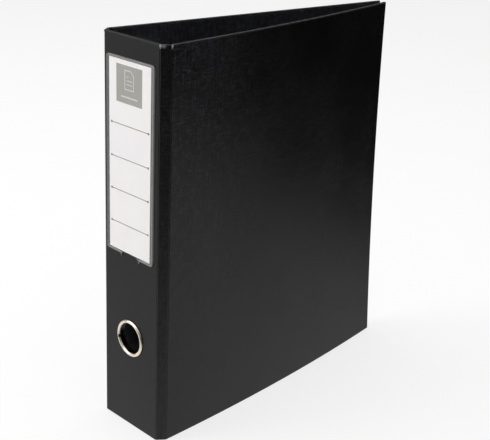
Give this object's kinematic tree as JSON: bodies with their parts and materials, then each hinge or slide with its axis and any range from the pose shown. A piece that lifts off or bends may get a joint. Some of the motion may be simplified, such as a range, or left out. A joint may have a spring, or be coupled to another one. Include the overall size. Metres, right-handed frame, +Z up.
{
  "type": "ring binder",
  "caption": "Upright A4 ring binder with black linen-embossed boards, a spine with a clear label pocket and steel finger ring, and a lever-opened D-ring mechanism.",
  "frame": {"origin": "on the surface the binder stands on, under the middle of its overall box", "axes": "+Z up along the spine, -Y out of the spine's outer face, +Y to the fore-edge, +X out of the front cover, -X out of the back cover"},
  "size_m": [0.0738, 0.2894, 0.32],
  "materials": {
    "board": "matte",
    "spine_wrap": "satin, fine embossed grain",
    "cover_wrap": "satin, linen embossed",
    "hinge": "satin, linen embossed",
    "lining": "matte, linen embossed",
    "nickel": "bright nickel",
    "chrome": "polished",
    "steel": "satin zinc plate",
    "clear_film": "clear, glossy",
    "label_card": "smooth card"
  },
  "bodies": {
    "spine": {"spine_board": "board", "spine_wrap": "spine_wrap", "spine_lining": "lining", "finger_ring_eyelet": "nickel", "finger_ring_washer": "steel", "label_pocket": "clear_film"},
    "label": {"label_insert": "label_card"},
    "front_hinge": {"front_hinge_strip": "hinge"},
    "front_cover": {"front_cover_board": "board", "front_cover_wrap": "cover_wrap", "front_cover_lining": "lining"},
    "back_hinge": {"back_hinge_strip": "hinge"},
    "back_cover": {"back_cover_board": "board", "back_cover_wrap": "cover_wrap", "back_cover_lining": "lining", "ring_mechanism_case": "chrome", "mechanism_rivet_lower": "nickel", "mechanism_rivet_upper": "nickel", "lever_pin_lower": "steel", "lever_pin_upper": "steel"},
    "post_blade": {"post_blade": "steel", "ring_post_1": "chrome", "ring_post_2": "chrome", "ring_post_3": "chrome", "ring_post_4": "chrome"},
    "curve_blade": {"curve_blade": "steel", "ring_bow_1": "chrome", "ring_bow_2": "chrome", "ring_bow_3": "chrome", "ring_bow_4": "chrome"},
    "lever_lower": {"lever_lower": "steel"},
    "lever_upper": {"lever_upper": "steel"}
  },
  "joints": [
    {"name": "front_spine_crease", "type": "hinge", "parent": "spine", "child": "front_hinge", "pos_m": [0.03161, -0.14322, 0.16], "axis": [0, 0, -1], "range_deg": [0, 90]},
    {"name": "front_cover_crease", "type": "hinge", "parent": "front_hinge", "child": "front_cover", "pos_m": [0.03689, -0.13635, 0.16], "axis": [0, 0, -1], "range_deg": [0, 76]},
    {"name": "back_spine_crease", "type": "hinge", "parent": "spine", "child": "back_hinge", "pos_m": [-0.03179, -0.14322, 0.16], "axis": [0, 0, 1], "range_deg": [0, 90]},
    {"name": "back_cover_crease", "type": "hinge", "parent": "back_hinge", "child": "back_cover", "pos_m": [-0.03691, -0.13624, 0.16], "axis": [0, 0, 1], "range_deg": [0, 76]},
    {"name": "label_slide", "type": "slide", "parent": "spine", "child": "label", "axis": [0, 0, 1], "range_m": [0, 0.156]},
    {"name": "post_blade_tilt", "type": "hinge", "parent": "back_cover", "child": "post_blade", "pos_m": [-0.02439, -0.08429, 0.16], "axis": [0, 0, 1], "range_deg": [0, 12]},
    {"name": "curve_blade_tilt", "type": "hinge", "parent": "back_cover", "child": "curve_blade", "pos_m": [-0.02722, -0.11014, 0.16], "axis": [0, 0, -1], "range_deg": [0, 12.5]},
    {"name": "lever_lower_press", "type": "hinge", "parent": "back_cover", "child": "lever_lower", "pos_m": [-0.02551, -0.09725, 0.03], "axis": [0.1087, 0.9941, 0], "range_deg": [0, 19.5]},
    {"name": "lever_upper_press", "type": "hinge", "parent": "back_cover", "child": "lever_upper", "pos_m": [-0.02551, -0.09725, 0.29], "axis": [-0.1087, -0.9941, 0], "range_deg": [0, 19.5]}
  ],
  "couplings": [
    {"joint": "front_cover_crease", "follows": "front_spine_crease", "ratio": 0.8333},
    {"joint": "back_cover_crease", "follows": "back_spine_crease", "ratio": 0.8333},
    {"joint": "curve_blade_tilt", "follows": "post_blade_tilt", "ratio": 1},
    {"joint": "lever_lower_press", "follows": "post_blade_tilt", "ratio": 1.6},
    {"joint": "lever_upper_press", "follows": "post_blade_tilt", "ratio": 1.6}
  ]
}
